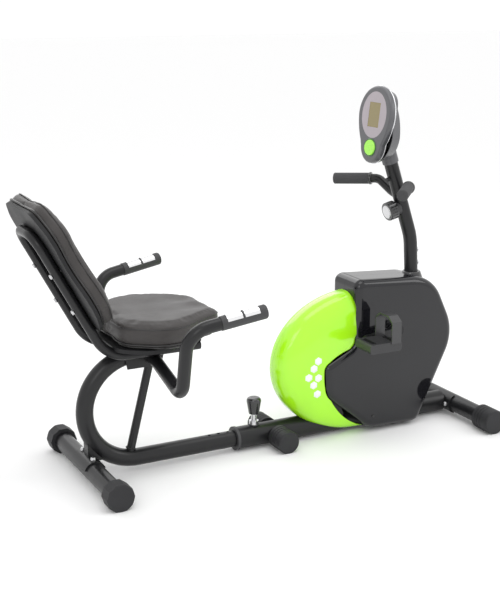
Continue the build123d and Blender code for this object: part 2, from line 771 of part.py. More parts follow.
def flywheel():
    """The cast flywheel with its hub and the small pulley that the belt drives."""
    y = flywheel_y
    wheel = ring(flywheel_d, axle_d + 2 * running, flywheel_width, (flywheel_x, y, flywheel_z), (90, 0, 0))
    recess = flywheel_d - 50.0
    for face_y in (y - flywheel_width / 2, y + flywheel_width / 2):
        wheel -= ring(recess, 54.0, 12.0, (flywheel_x, face_y, flywheel_z), (90, 0, 0))
    hub_start = y - flywheel_width / 2
    hub_end = belt_plane - belt_width / 2 - 2.0
    length = hub_start - hub_end
    hub = ring(small_pulley_d + 4.0, axle_d + 2 * running, length,
               (flywheel_x, hub_start - length / 2, flywheel_z), (90, 0, 0))
    hub -= ring(small_pulley_d + 30.0, small_pulley_d, belt_width, (flywheel_x, belt_plane, flywheel_z), (90, 0, 0))
    return wheel + hub


def flywheel_axle():
    """The fixed axle with a nut outside each plate."""
    ends = (plate_right_y - plate_t / 2, plate_left_y + plate_t / 2)
    axle = rod(axle_d, (flywheel_x, ends[0] - 9.0, flywheel_z), (flywheel_x, ends[1] + 9.0, flywheel_z))
    for start, step in ((ends[0], -7.0), (ends[1], 7.0)):
        nut_plane = Plane(origin=(flywheel_x, start, flywheel_z), z_dir=(0, math.copysign(1, step), 0))
        axle += extrude(nut_plane * RegularPolygon(10.5, 6), abs(step))
    return axle


def belt_outline(grow):
    """The open belt line round both pulleys, grown outwards."""
    big = pulley_d / 2 - 2.0 + grow
    small = small_pulley_d / 2 + grow
    turn = math.atan2(flywheel_z - axle_z, flywheel_x - axle_x)
    span = math.hypot(flywheel_x - axle_x, flywheel_z - axle_z)
    spread = math.acos((big - small) / span)

    def on_circle(centre, radius, angle):
        return (centre[0] + radius * math.cos(angle), centre[1] + radius * math.sin(angle))

    drive = (axle_x, axle_z)
    driven = (flywheel_x, flywheel_z)
    tops = [on_circle(drive, big, turn - spread), on_circle(driven, small, turn - spread)]
    lows = [on_circle(drive, big, turn + spread), on_circle(driven, small, turn + spread)]
    far = on_circle(drive, big, turn + math.pi)
    near = on_circle(driven, small, turn)
    return make_face([Line(*tops), ThreePointArc(tops[1], near, lows[1]), Line(lows[1], lows[0]),
                      ThreePointArc(lows[0], far, tops[0])])


belt_t = 1.5


def drive_belt():
    """The ribbed belt round both pulleys."""
    band = belt_outline(skin_gap + belt_t) - belt_outline(skin_gap)
    return Pos(0, belt_plane, 0) * extrude(Plane.XZ * band, (belt_width - 2.0) / 2, both=True)


# ---- magnetic brake -------------------------------------------------------------------------
brake_start = 108.0           # the bracket's arc round the flywheel, degrees from forward
brake_end = 196.0
magnet_gap = 4.0
magnet_t = 5.0
brake_pivot_angle = 112.0
brake_swing = 6.0


def brake_point(angle, radius):
    """A point round the flywheel's centre."""
    turn = math.radians(angle)
    return (flywheel_x + radius * math.cos(turn), flywheel_z + radius * math.sin(turn))


brake_radius = flywheel_d / 2 + magnet_gap + magnet_t
brake_pivot = brake_point(brake_pivot_angle, brake_radius + 4.0)


def magnet_bracket():
    """The pressed arc with its row of magnets, and its pivot eye at the upper end."""
    width = flywheel_width
    arc_wall = 3.0
    outer = 2 * (brake_radius + arc_wall)
    shoe = ring(outer, 2 * brake_radius, width, (flywheel_x, flywheel_y, flywheel_z), (90, 0, 0))
    fan = [(flywheel_x, flywheel_z)]
    fan += [brake_point(angle, 300.0) for angle in (brake_start, (brake_start + brake_end) / 2, brake_end)]
    wedge = Pos(0, flywheel_y, 0) * extrude(Plane.XZ * make_face(Polyline(*fan, close=True)), width, both=True)
    shoe &= wedge
    eye = Location((brake_pivot[0], flywheel_y, brake_pivot[1]), (90, 0, 0)) * Cylinder(8.0, width)
    eye -= Location((flywheel_x, flywheel_y, flywheel_z), (90, 0, 0)) * Cylinder(brake_radius, 2 * width)
    body = shoe + eye
    rows = 5
    for index in range(rows):
        angle = brake_start + (index + 0.6) * (brake_end - brake_start) / rows
        x, z = brake_point(angle, brake_radius - magnet_t / 2 + 0.4)
        magnet = Location((x, flywheel_y, z), (0, 90 - angle, 0)) * Box(18.0, width - 4.0, magnet_t)
        body += magnet
    ends = (flywheel_y - width, flywheel_y + width)
    pin_line = [(brake_pivot[0], y, brake_pivot[1]) for y in ends]
    return drill(body, 6.0 + 2 * running, *pin_line)


# ---- console post ---------------------------------------------------------------------------
def console_post():
    """The bent tube over the stem, drilled for its two bolts."""
    post = tube_along(post_path(), post_d, tube_wall)
    for level in post_bolt_levels:
        x = on_stem(level)[0]
        post = drill(post, bolt_hole_d, (x, 0, level), (x + 40.0, 0, level))
    middle = on_post(handlebar_level)
    return drill(post, handlebar_d, tuple(middle - Vector(0, post_d, 0)), tuple(middle + Vector(0, post_d, 0)))


def frame_bolts():
    """Bolts of the front stabiliser and of the console post."""
    bolts = []
    for y in front_bolt_rows:
        front = wheelbase + stabiliser_tube_d / 2
        bolts.append(bolt((front, y, axis_z), (wheelbase - saddle_outer_r, y, axis_z)))
    for level in post_bolt_levels:
        x = on_stem(level)[0]
        outside = (x + post_d / 2 + 0.6, 0, level)
        inside = (x + stem_d / 2 - tube_wall - 2.4, 0, level)
        bolts.append(bolt(outside, inside, head_d=14.0, head_t=5.0, nut_d=13.0, nut_t=5.0))
    return group(*bolts)


collar_height = 26.0
collar_base_z = 414.0


def post_collar():
    """The moulded collar where the post leaves the casing, tapering up round the post."""
    return drill(collar_block(), post_d + 2.4, on_stem(collar_base_z - 20.0), on_stem(stem_top))


def collar_block():
    """The collar as a solid block."""
    x = on_stem(collar_base_z)[0]
    low = Plane((x, 0, collar_base_z)) * Ellipse(post_d / 2 + 17.0, post_d / 2 + 12.0)
    high = Plane((x, 0, collar_base_z + collar_height)) * Circle(post_d / 2 + 6.0)
    body = loft([low, high])
    return fillet(body.edges().group_by(Axis.Z)[-1], 3.0)


# ---- front handlebar ------------------------------------------------------------------------
def on_post(level, out=0.0):
    """A point on the post's leaning run at a height, and out towards the rider from its centreline."""
    run = Vector(post_tip[0] - post_knee[0], 0, post_tip[1] - post_knee[1]).normalized()
    share = (level - post_knee[1]) / run.Z
    out_dir = Vector(-run.Z, 0, run.X)
    return Vector(post_knee[0], 0, post_knee[1]) + run * share + out_dir * out


def handlebar_points():
    """Centre, elbow and tip of the left half of the handlebar."""
    middle = on_post(handlebar_level)
    elbow = middle + Vector(*handlebar_elbow)
    tip = elbow + Vector(*handlebar_reach)
    return middle, elbow, tip


def handlebar():
    """The bent bar welded across the front of the post."""
    middle, elbow, tip = handlebar_points()
    level = middle + Vector(0, post_d / 2 + 8.0, 0)
    left = [tuple(level), tuple(elbow), tuple(tip)]
    right = [(x, -y, z) for x, y, z in reversed(left)]
    return tube_along(path_of(right + left, [30.0, 42.0, 42.0, 30.0]), handlebar_d, tube_wall)


foam_wall_end = 5.0


def handlebar_grips():
    """Foam sleeves with closed ends over both ends of the handlebar."""
    middle, elbow, tip = handlebar_points()
    run = (tip - elbow).normalized()
    start = elbow + run * 22.0
    end = tip + run * foam_wall_end
    sleeve = rod(foam_d, tuple(start), tuple(end))
    sleeve = fillet(sleeve.edges().sort_by(Axis.X)[0], 4.0)
    sleeve -= rod(handlebar_d, tuple(start - run * 2.0), tuple(tip + run * 0.2))
    return group(sleeve, mirrored(sleeve))


grommet_level = 712.0


def wire_grommet():
    """The rubber grommet on the post's rear face where the pulse wires go in."""
    base = on_post(grommet_level, post_d / 2 - 4.0)
    out = (on_post(grommet_level, post_d) - on_post(grommet_level)).normalized()
    body = rod(12.0, tuple(base), tuple(base + out * 12.0))
    return (body - bar_along(post_path(), post_d)).solids().sort_by(SortBy.VOLUME)[-1]


# ---- tension control ------------------------------------------------------------------------
knob_tilt = 14.0
housing_length = 15.0
knob_length = 24.0


def knob_plane(distance):
    """A plane square to the tension knob's axis, so far out from the post's rear face."""
    tilt = math.radians(knob_tilt)
    direction = Vector(-math.cos(tilt), 0, -math.sin(tilt))
    base = on_post(knob_level, post_d / 2 - 6.0)
    return Plane(origin=base + direction * distance, x_dir=(0, 1, 0), z_dir=direction)


def tension_housing():
    """The fixed cup of the tension control on the rider's side of the post."""
    cup = knob_plane(0.0) * Pos(0, 0, housing_length / 2) * Cylinder(19.0, housing_length)
    cup -= bar_along(post_path(), post_d)
    cup = cup.solids().sort_by(SortBy.VOLUME)[-1]
    stub = knob_plane(housing_length) * Pos(0, 0, 4.0) * Cylinder(6.0, 8.0)
    return cup + stub


def tension_knob():
    """The knurled knob with its pointer face."""
    body = Pos(0, 0, knob_length / 2) * Cylinder(knob_d / 2, knob_length)
    body = fillet(body.edges().group_by(Axis.Z)[-1], 3.0)
    for turn in range(0, 360, 20):
        notch = Rot(0, 0, turn) * Pos(knob_d / 2 + 0.8, 0, knob_length / 2) * Cylinder(2.0, knob_length - 8.0)
        body -= notch
    body += Pos(0, 0, knob_length + 0.6) * Box(knob_d * 0.62, 5.0, 1.2)
    body -= Pos(0, 0, 4.5) * Cylinder(6.0 + running, 9.0)
    return knob_plane(housing_length + skin_gap) * body


cable_d = 5.0


def cable_path():
    """Down inside the post and stem, out of the stem's foot and along the left of the drive."""
    inside = 5.0
    top = on_post(knob_level - 8.0, inside)
    knee = (post_knee[0] - inside, 0, post_knee[1])
    low = (stem_foot_x + 1.0, 0, 190.0)
    side_y = plate_left_y + plate_t + 14.0
    exit_point = (low[0] - 62.0, side_y * 0.7, 122.0)
    beside = (flywheel_x + 96.0, side_y, beam_top + 30.0)
    under = (flywheel_x - 44.0, side_y - 2.0, beam_top + 28.0)
    tail = brake_point(brake_end, brake_radius)
    end = (tail[0] - 6.0, flywheel_y, tail[1] - 24.0)
    turn = (tail[0] + 8.0, flywheel_y + 6.0, beam_top + 50.0)
    shoulder = (on_stem(stem_knee)[0] - inside, 0, stem_knee)
    points = [tuple(top), knee, shoulder, low, exit_point, beside, under, turn, end]
    return path_of(points, [170.0, 300.0, 50.0, 50.0, 120.0, 60.0, 36.0])


def tension_cable():
    """The Bowden cable, whole, from the tension control to the magnet bracket."""
    return bar_along(cable_path(), cable_d)


# ---- console --------------------------------------------------------------------------------
def console_plane(out):
    """A plane parallel to the console's face, out towards the rider from its middle plane."""
    lean = math.radians(console_lean)
    normal = Vector(-math.cos(lean), 0, math.sin(lean))
    origin = Vector(console_centre[0], 0, console_centre[1]) + normal * out
    return Plane(origin=origin, x_dir=(0, -1, 0), z_dir=normal)


def egg(inset):
    """The console's egg outline: a broad top circle and a small bottom circle, with flanks as arcs."""
    top_r = console_top_r - inset
    low_r = console_bottom_r - inset
    top_c = console_height / 2 - console_top_r
    low_c = console_bottom_r - console_height / 2
    flank = (top_r + low_r) / 2 + 5.0
    middle_y = (top_c + low_c) / 2 - 2.0
    crown = ThreePointArc((top_r, top_c), (0, top_c + top_r), (-top_r, top_c))
    left = ThreePointArc((-top_r, top_c), (-flank, middle_y), (-low_r, low_c))
    sole = ThreePointArc((-low_r, low_c), (0, low_c - low_r), (low_r, low_c))
    right = ThreePointArc((low_r, low_c), (flank, middle_y), (top_r, top_c))
    return make_face([crown, left, sole, right])


shell_wall = 2.5
neck_wall = 3.5
neck_base = 752.0
panel_centre = 26.0           # up the face from its middle
panel_radii = (58.0, 62.0)
panel_t = 2.0
screen_size = (52.0, 66.0)
screen_t = 1.5
button_centre = -62.0
button_radii = (25.0, 21.0)
button_travel = 1.5


def console_back():
    """The domed rear shell, hollow, with the socket that the post ends in."""
    body = extrude(egg(0.0), console_back_t, taper=22.0)
    body -= extrude(egg(shell_wall), console_back_t - 2 * shell_wall, taper=24.0)
    body = console_plane(0.0) * (Rot(180, 0, 0) * body)
    neck = rod(post_d + 2 * neck_wall, tuple(on_post(neck_base)), tuple(on_post(post_tip[1] + neck_wall)))
    post_cut = rod(post_d + 2 * snug, tuple(on_post(neck_base - 20.0)), tuple(on_post(post_tip[1] + snug)))
    return (body + neck - post_cut).solids().sort_by(SortBy.VOLUME)[-1]


def console_front():
    """The front shell with the recesses for its panel and button."""
    body = extrude(egg(0.0), console_front_t)
    body = fillet(body.edges().group_by(Axis.Z)[-1], 6.0)
    body -= extrude(egg(shell_wall), console_front_t - shell_wall)
    body -= Pos(0, panel_centre, console_front_t - panel_t) * extrude(Ellipse(*panel_radii), panel_t + 1.0)
    hole = [radius + skin_gap for radius in button_radii]
    body -= Pos(0, button_centre, 0) * extrude(Ellipse(*hole), console_front_t + 1.0)
    window = Pos(0, panel_centre, console_front_t - 4.0) * Box(screen_size[0], screen_size[1], 12.0)
    return console_plane(0.0) * (body - window)


def console_panel():
    """The printed oval panel set in the front shell, with its display window."""
    panel = Pos(0, panel_centre, console_front_t - panel_t) * extrude(Ellipse(*panel_radii), panel_t)
    panel -= Pos(0, panel_centre, console_front_t) * Box(screen_size[0], screen_size[1], 12.0)
    return console_plane(0.0) * panel


def display_glass():
    """The display's window."""
    glass = Pos(0, panel_centre, console_front_t - panel_t + screen_t / 2) * Box(*screen_size, screen_t)
    return console_plane(0.0) * glass


board_t = 1.6


def circuit_board():
    """The circuit board behind the panel."""
    board = Pos(0, panel_centre - 10.0, 2.0) * Box(84.0, 96.0, board_t)
    return console_plane(0.0) * board


def console_button():
    """The single mode button, domed, with a stem towards the circuit board."""
    top = console_front_t + 3.0
    body = Pos(0, button_centre, console_front_t - 6.0) * extrude(Ellipse(*button_radii), top - console_front_t + 6.0)
    body = fillet(body.edges().group_by(Axis.Z)[-1], 2.5)
    return console_plane(0.0) * body


# ---- casing ---------------------------------------------------------------------------------
lobe_corners = ((812.0, 12.0, 70.0), (668.0, 128.0, 55.0), (662.0, 215.0, 22.0), (casing_rear_x, 262.0, 30.0))


def black_face(inset):
    """The black casing from the side: square at its upper rear, round in front, lobed to the rear below."""
    crown = casing_top
    corners = [(casing_rear_x, crown, 24.0), (casing_front_x - 66.0, crown - 15.0, 110.0)]
    corners += [(casing_front_x + 16.0, crown - 185.0, 130.0), (casing_front_x - 106.0, casing_floor_gap, 28.0)]
    corners += lobe_corners
    points = [(x, z) for x, z, radius in corners]
    face = make_face(FilletPolyline(*points, radius=[radius for x, z, radius in corners], close=True))
    return offset(face, amount=-inset) if inset else face


def green_face(inset):
    """The green casing's whole ellipse; the black casing's outline is cut out of it."""
    return Pos(green_centre[0], green_centre[1]) * Ellipse(green_radii[0] - inset, green_radii[1] - inset)


def as_side(face):
    """A face drawn with x and z as its coordinates, put in the middle plane."""
    return Plane.XZ * face


def black_body(inset):
    """The black casing as a solid block, its long edges rounded."""
    block = slab(as_side(black_face(inset)), casing_half - inset)
    edges = [edge for side in (0, -1) for edge in block.edges().group_by(Axis.Y)[side]]
    return fillet(edges, casing_edge - inset)


def green_body(inset):
    """The green casing as a solid bubble before the black one is cut out of it."""
    block = slab(as_side(green_face(inset)), green_half - inset)
    edges = [edge for side in (0, -1) for edge in block.edges().group_by(Axis.Y)[side]]
    return fillet(edges, green_edge - inset)


def casing_cuts():
    """What passes through the casing: beam, stem and collar, and the crank axle."""
    beam = Location((wheelbase / 2, 0, axis_z), (0, 90, 0)) * Cylinder(beam_d / 2 + 1.0, wheelbase)
    under = Pos(wheelbase / 2, 0, axis_z - beam_d) * Box(wheelbase, beam_d + 2.0, 2 * beam_d)
    stem = rod(post_d + 2.4, on_stem(collar_base_z - 60.0), on_stem(stem_top))
    axle = rod(56.0, (axle_x, -2 * casing_half, axle_z), (axle_x, 2 * casing_half, axle_z))
    return [beam, under, stem, axle]


right_screws = ((819.0, 50.5),)
left_screws = ((819.0, 50.5), (1035.0, 300.0), (905.0, 400.0), (985.0, 120.0))
screw_d = 4.0
screw_depth = 9.0


def casing_shells():
    """Four shells: black and green, each split down the middle plane."""
    cuts = casing_cuts()
    hollow = green_body(casing_wall)
    black = black_body(0.0) - black_body(casing_wall) - hollow - collar_block()
    green = green_body(0.0) - hollow - slab(as_side(black_face(-seam_gap)), 2 * casing_half)
    x_mid = wheelbase / 2
    shells = {}
    for colour, shell in (("front", black), ("rear", green)):
        for cut in cuts:
            shell -= cut
        for side, sign in (("right", -1), ("left", 1)):
            half_space = Pos(x_mid, sign * (200.0 + seam_gap / 4), 250.0) * Box(3 * wheelbase, 400.0, 900.0)
            piece = (shell & half_space).solids().sort_by(SortBy.VOLUME)[-1]
            for x, z in right_screws if sign < 0 else left_screws:
                inner_y = sign * (casing_half - 2 * casing_wall)
                outer_y = sign * (casing_half + 2 * casing_wall)
                piece = drill(piece, screw_d + 2 * snug, (x, inner_y, z), (x, outer_y, z))
            shells[f"casing_{colour}_{side}"] = piece
    return shells


def casing_screws():
    """Pan-head screws: one on the right and four on the left, where the halves are joined."""
    screws = []
    for side, places in ((-1, right_screws), (1, left_screws)):
        face_y = side * (casing_half + 0.2)
        for x, z in places:
            head = rod(8.0, (x, face_y, z), (x, face_y + side * 1.6, z))
            screws.append(head + rod(screw_d, (x, face_y, z), (x, face_y - side * screw_depth, z)))
    return group(*screws)


# ---- the whole bike -------------------------------------------------------------------------
def build_nodes():
    """Every node of the bike, by name."""
    fit = (stabiliser_tube_d, axis_z)
    rear_cap = cap(end_cap_d, rear_cap_length, *fit, 0.0, stabiliser_half, sides=rear_cap_sides)
    front_cap = cap(end_cap_d, front_cap_length, *fit, wheelbase, stabiliser_half)
    grip = armrest_grip()
    nodes = {
        "seat_rail": seat_rail(),
        "seat_strut": strut(),
        "rear_stabiliser_tube": rear_stabiliser_tube(),
        "rear_end_caps": group(rear_cap, mirrored(rear_cap)),
        "rear_saddle": rear_saddle(),
        "seat_frame_bolts": seat_frame_bolts(),
        "seat_bracket": seat_bracket(),
        "backrest_hoop": backrest_hoop(),
        "seat_tray": seat_base(),
        "seat_cushion": seat_cushion(),
        "backrest_panel": backrest_board(),
        "backrest_cushion": backrest_cushion(),
        "armrest_tube": armrest_tube(),
        "armrest_grips": group(grip, mirrored(grip)),
        "pulse_plates": pulse_plates(),
        "main_beam": main_beam(),
        "sleeve_bushes": sleeve_bushes(),
        "middle_support_tubes": middle_tubes(),
        "middle_support_caps": middle_caps(),
        "front_saddle": front_saddle(),
        "front_stabiliser_tube": front_stabiliser_tube(),
        "front_end_caps": group(front_cap, mirrored(front_cap)),
        "frame_bolts": frame_bolts(),
        "post_stem": post_stem(),
        "drive_bracket": drive_bracket(),
        "pull_pin_housing": pin_housing(),
        "post_collar": post_collar(),
        "console_post": console_post(),
        "handlebar": handlebar(),
        "handlebar_grips": handlebar_grips(),
        "wire_grommet": wire_grommet(),
        "tension_cable": tension_cable(),
        "tension_housing": tension_housing(),
        "console_back": console_back(),
        "console_front": console_front(),
        "console_panel": console_panel(),
        "display_glass": display_glass(),
        "circuit_board": circuit_board(),
        "drive_belt": drive_belt(),
        "flywheel_axle": flywheel_axle(),
        "casing_screws": casing_screws(),
        "pull_pin": pull_pin(),
        "pull_knob": pull_knob(),
        "crank_axle": crank_axle(),
        "crank_pulley": crank_pulley(),
        "crank_bearings": crank_bearings(),
        "crank_arms": group(crank_arm(-1), crank_arm(1)),
        "pedal_spindles": group(pedal_spindle(-1), pedal_spindle(1)),
        "flywheel": flywheel(),
        "pedal_right": pedal(-1),
        "pedal_strap_right": pedal_strap(-1),
        "pedal_left": pedal(1),
        "pedal_strap_left": pedal_strap(1),
        "tension_knob": tension_knob(),
        "magnet_bracket": magnet_bracket(),
        "console_button": console_button(),
    }
    nodes.update(casing_shells())
    return nodes


def bounds_of(nodes):
    """The lowest and highest corners of all nodes together."""
    boxes = [shape.bounding_box() for shape in nodes.values()]
    low = [min(getattr(box.min, axis) for box in boxes) for axis in "XYZ"]
    high = [max(getattr(box.max, axis) for box in boxes) for axis in "XYZ"]
    return low, high


nodes = build_nodes()
low, high = bounds_of(nodes)
shift = Pos(-(low[0] + high[0]) / 2, -(low[1] + high[1]) / 2, -low[2])
os.makedirs("parts", exist_ok=True)
for name, shape in nodes.items():
    export_step(shift * shape, os.path.join("parts", name + ".step"))
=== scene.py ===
import math

import bmesh
import bpy
import numpy as np
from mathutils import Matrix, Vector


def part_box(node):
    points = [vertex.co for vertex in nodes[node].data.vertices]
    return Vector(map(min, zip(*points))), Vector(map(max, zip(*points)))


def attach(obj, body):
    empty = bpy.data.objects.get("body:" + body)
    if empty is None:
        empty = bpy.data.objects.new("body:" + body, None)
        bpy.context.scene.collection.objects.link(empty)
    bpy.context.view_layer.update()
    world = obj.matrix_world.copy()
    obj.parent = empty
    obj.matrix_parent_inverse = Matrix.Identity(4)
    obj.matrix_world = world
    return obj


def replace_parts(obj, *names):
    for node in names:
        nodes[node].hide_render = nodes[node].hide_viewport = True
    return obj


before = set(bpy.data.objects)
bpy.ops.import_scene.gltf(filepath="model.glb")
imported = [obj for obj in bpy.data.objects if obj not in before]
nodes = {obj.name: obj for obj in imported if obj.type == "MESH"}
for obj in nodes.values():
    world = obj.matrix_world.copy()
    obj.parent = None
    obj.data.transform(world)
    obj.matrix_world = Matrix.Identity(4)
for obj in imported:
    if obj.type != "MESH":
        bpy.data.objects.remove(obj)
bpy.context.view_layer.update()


# ---- the studio ------------------------------------------------------------------------------
# A white paper floor, one broad lamp over the bike, a strip lamp on each side and a pale
# surround. The camera stands at the rider's right rear quarter, at about head height.
def middle_of(node):
    """The centre of a CAD node's box, as an array."""
    low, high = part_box(node)
    return (np.array(low) + np.array(high)) / 2


rear_axle_x = middle_of("rear_stabiliser_tube")[0]
camera_data = bpy.data.cameras.new("camera")
camera_data.lens = 70.52
camera_data.sensor_width = 36.0
camera = bpy.data.objects.new("camera", camera_data)
camera.location = (rear_axle_x - 0.9166, -2.6720, 1.1990)
camera.rotation_euler = (math.radians(90.0 - 14.62), 0.0, math.radians(-27.33))
bpy.context.scene.collection.objects.link(camera)
bpy.context.scene.camera = camera
bpy.context.scene.view_settings.view_transform = "Standard"


def lamp(name, place, aim, size, power):
    """An area lamp at a place, facing a point."""
    data = bpy.data.lights.new(name, "AREA")
    data.shape = "RECTANGLE"
    data.size, data.size_y = size
    data.energy = power
    light = bpy.data.objects.new(name, data)
    light.location = place
    run = np.array(aim, float) - np.array(place, float)
    light.rotation_euler = (
        math.atan2(math.hypot(run[0], run[1]), -run[2]), 0.0, math.atan2(run[1], run[0]) - math.pi / 2
    )
    bpy.context.scene.collection.objects.link(light)


lamp("lamp_over", (0.1, -0.5, 3.0), (0.0, 0.0, 0.4), (2.4, 1.6), 20.0)
lamp("lamp_front_left", (-2.2, -2.6, 2.1), (0.1, 0.0, 0.4), (1.2, 1.6), 12.0)
lamp("lamp_front_right", (2.3, -1.6, 1.9), (0.3, 0.0, 0.4), (0.9, 1.4), 9.0)
lamp("lamp_behind", (0.3, 3.0, 2.2), (0.0, 0.0, 0.4), (2.6, 1.2), 14.0)
world = bpy.data.worlds.new("surround")
bpy.context.scene.world = world
world.use_nodes = True
world.node_tree.nodes["Background"].inputs["Color"].default_value = (1.0, 1.0, 1.0, 1.0)
world.node_tree.nodes["Background"].inputs["Strength"].default_value = 1.06

floor_mesh = bpy.data.meshes.new("floor")
floor_mesh.from_pydata([(-30, -30, 0), (30, -30, 0), (30, 30, 0), (-30, 30, 0)], [], [(0, 1, 2, 3)])
floor = bpy.data.objects.new("floor", floor_mesh)
bpy.context.scene.collection.objects.link(floor)
paper = bpy.data.materials.new("floor_paper")
paper.use_nodes = True
paper.node_tree.nodes["Principled BSDF"].inputs["Base Color"].default_value = (0.93, 0.93, 0.93, 1.0)
paper.node_tree.nodes["Principled BSDF"].inputs["Roughness"].default_value = 0.9
floor_mesh.materials.append(paper)


# ---- the tubes and brackets ------------------------------------------------------------------
# Welded steel tube and plate, powder-coated satin black in one batch. The coat lies in a fine
# orange peel and dulls unevenly where it was wiped down.
def finish(name, colour, rough, grain, depth, metal=0.0, coat=0.0, mottle=0.12, smudge=0.1, patch=0.09,
           shine=0.5):
    """A material from two noises on Object coordinates: one of the grain's size that only bumps
    the surface, and one of the patches' size that moves the colour and the roughness a little."""
    material = bpy.data.materials.new(name)
    material.use_nodes = True
    tree = material.node_tree
    shader = tree.nodes["Principled BSDF"]
    shader.inputs["Metallic"].default_value = metal
    shader.inputs["Specular IOR Level"].default_value = shine
    shader.inputs["Coat Weight"].default_value = coat
    shader.inputs["Coat Roughness"].default_value = 0.04
    place = tree.nodes.new("ShaderNodeTexCoord")
    fine = tree.nodes.new("ShaderNodeTexNoise")
    fine.inputs["Scale"].default_value = 1.0 / grain
    fine.inputs["Detail"].default_value = 3.0
    bump = tree.nodes.new("ShaderNodeBump")
    bump.inputs["Distance"].default_value = depth
    broad = tree.nodes.new("ShaderNodeTexNoise")
    broad.inputs["Scale"].default_value = 1.0 / patch
    broad.inputs["Detail"].default_value = 5.0
    tone = tree.nodes.new("ShaderNodeMapRange")
    tone.inputs["From Min"].default_value = 0.3
    tone.inputs["From Max"].default_value = 0.7
    tone.inputs["To Min"].default_value = max(rough - smudge / 2, 0.02)
    tone.inputs["To Max"].default_value = rough + smudge / 2
    ramp = tree.nodes.new("ShaderNodeValToRGB")
    ramp.color_ramp.elements[0].position = 0.3
    ramp.color_ramp.elements[1].position = 0.7
    for element, share in zip(ramp.color_ramp.elements, (1 - mottle, 1 + mottle)):
        element.color = (*[min(channel * share, 1.0) for channel in colour], 1.0)
    link = tree.links.new
    for texture in (fine, broad):
        link(place.outputs["Object"], texture.inputs["Vector"])
    link(fine.outputs["Fac"], bump.inputs["Height"])
    link(bump.outputs["Normal"], shader.inputs["Normal"])
    link(broad.outputs["Fac"], tone.inputs["Value"])
    link(tone.outputs["Result"], shader.inputs["Roughness"])
    link(broad.outputs["Fac"], ramp.inputs["Fac"])
    link(ramp.outputs["Color"], shader.inputs["Base Color"])
    return material


def give(material, *names):
    """Puts a material on CAD nodes."""
    for name in names:
        slots = nodes[name].data.materials
        slots.clear()
        slots.append(material)


powder_coat = finish("powder_coat_black", (0.010, 0.010, 0.011), 0.34, 0.0016, 0.00006, coat=0.1,
                     shine=0.34)
give(powder_coat, "seat_rail", "seat_strut", "rear_stabiliser_tube", "rear_saddle", "seat_bracket",
     "backrest_hoop", "armrest_tube", "main_beam", "middle_support_tubes", "front_saddle",
     "front_stabiliser_tube", "post_stem", "drive_bracket", "console_post", "handlebar", "crank_arms")


# ---- the weld beads --------------------------------------------------------------------------
# A bead of filler, laid in overlapping scales and then powder-coated with the frame, runs round
# each joint of the tubes. Beads are drawn here at two of them: the seat strut's foot and the pull
# pin's boss on the main beam.
def skin_of(name, points, body, material, wrap_u=False, wrap_v=False):
    """A mesh on a grid of points (rows, columns, 3): each cell is a quad, and a wrapped direction
    joins its last line to its first."""
    rows, columns = points.shape[:2]
    index = np.arange(rows * columns).reshape(rows, columns)
    if wrap_u:
        index = np.vstack([index, index[:1]])
    if wrap_v:
        index = np.hstack([index, index[:, :1]])
    quads = np.stack([index[:-1, :-1], index[1:, :-1], index[1:, 1:], index[:-1, 1:]], -1).reshape(-1, 4)
    mesh = bpy.data.meshes.new(name)
    mesh.from_pydata(points.reshape(-1, 3).tolist(), [], quads.tolist())
    shape = bmesh.new()
    shape.from_mesh(mesh)
    bmesh.ops.remove_doubles(shape, verts=shape.verts, dist=1e-6)
    bmesh.ops.recalc_face_normals(shape, faces=shape.faces)
    for face in shape.faces:
        face.smooth = True
    shape.to_mesh(mesh)
    shape.free()
    mesh.materials.append(material)
    piece = bpy.data.objects.new(name, mesh)
    bpy.context.scene.collection.objects.link(piece)
    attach(piece, body)
    return piece


def unit(vectors):
    """Each vector divided by its length."""
    return vectors / np.linalg.norm(vectors, axis=-1, keepdims=True)


def loop_tube(line, up, radius, around=10):
    """A tube on a closed line: each ring is a circle in the plane of the line's side direction and
    the given up direction; radius may vary along the line."""
    run = unit(np.roll(line, -1, 0) - np.roll(line, 1, 0))
    side = unit(np.cross(run, up))
    lift = np.cross(side, run)
    turn = np.linspace(0, 2 * np.pi, around, endpoint=False)
    size = np.broadcast_to(radius, len(line))[:, None, None]
    ring = np.cos(turn)[None, :, None] * side[:, None] + np.sin(turn)[None, :, None] * lift[:, None]
    return line[:, None] + size * ring


def weld(name, centre, axis, radius, body, bead=0.0024):
    """A bead round a tube: a ring about the axis whose thickness ripples once for each scale."""
    axis = unit(np.array(axis, float))
    side = unit(np.cross(axis, (0.1, 0.9, 0.37)))
    other = np.cross(axis, side)
    turn = np.linspace(0, 2 * np.pi, 96, endpoint=False)
    line = np.array(centre) + radius * (np.cos(turn)[:, None] * side + np.sin(turn)[:, None] * other)
    scales = round(2 * np.pi * radius / 0.006)
    swell = bead * (1 + 0.16 * np.sin(turn * scales))
    skin_of(name, loop_tube(line, axis, swell, 8), body, powder_coat, True, True)


strut_low, strut_high = (np.array(corner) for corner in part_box("seat_strut"))
strut_run = np.array([strut_high[0] - strut_low[0] - 0.022, 0.0, strut_high[2] - strut_low[2]])
strut_foot = np.array([strut_low[0] + 0.0115, 0.0, strut_low[2] + 0.0065])
weld("weld_strut_foot", strut_foot, strut_run, 0.0112, "seat_frame")
boss_low, boss_high = (np.array(corner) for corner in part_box("pull_pin_housing"))
beam_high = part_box("main_beam")[1]
boss_middle = (boss_low + boss_high) / 2
weld("weld_pin_boss", (boss_middle[0], 0.0, beam_high[2] - 0.0008), (0, 0, 1), 0.0135, "front_frame")


# ---- the feet --------------------------------------------------------------------------------
# Moulded end caps with a spark-eroded texture, pressed over the cross tubes. Their undersides
# are scuffed a little greyer by floors; the material here mottles the colour at random all over.
cap_plastic = finish("cap_plastic_black", (0.022, 0.022, 0.024), 0.6, 0.0009, 0.00016, mottle=0.2,
                     shine=0.35)
give(cap_plastic, "rear_end_caps", "front_end_caps", "middle_support_caps")


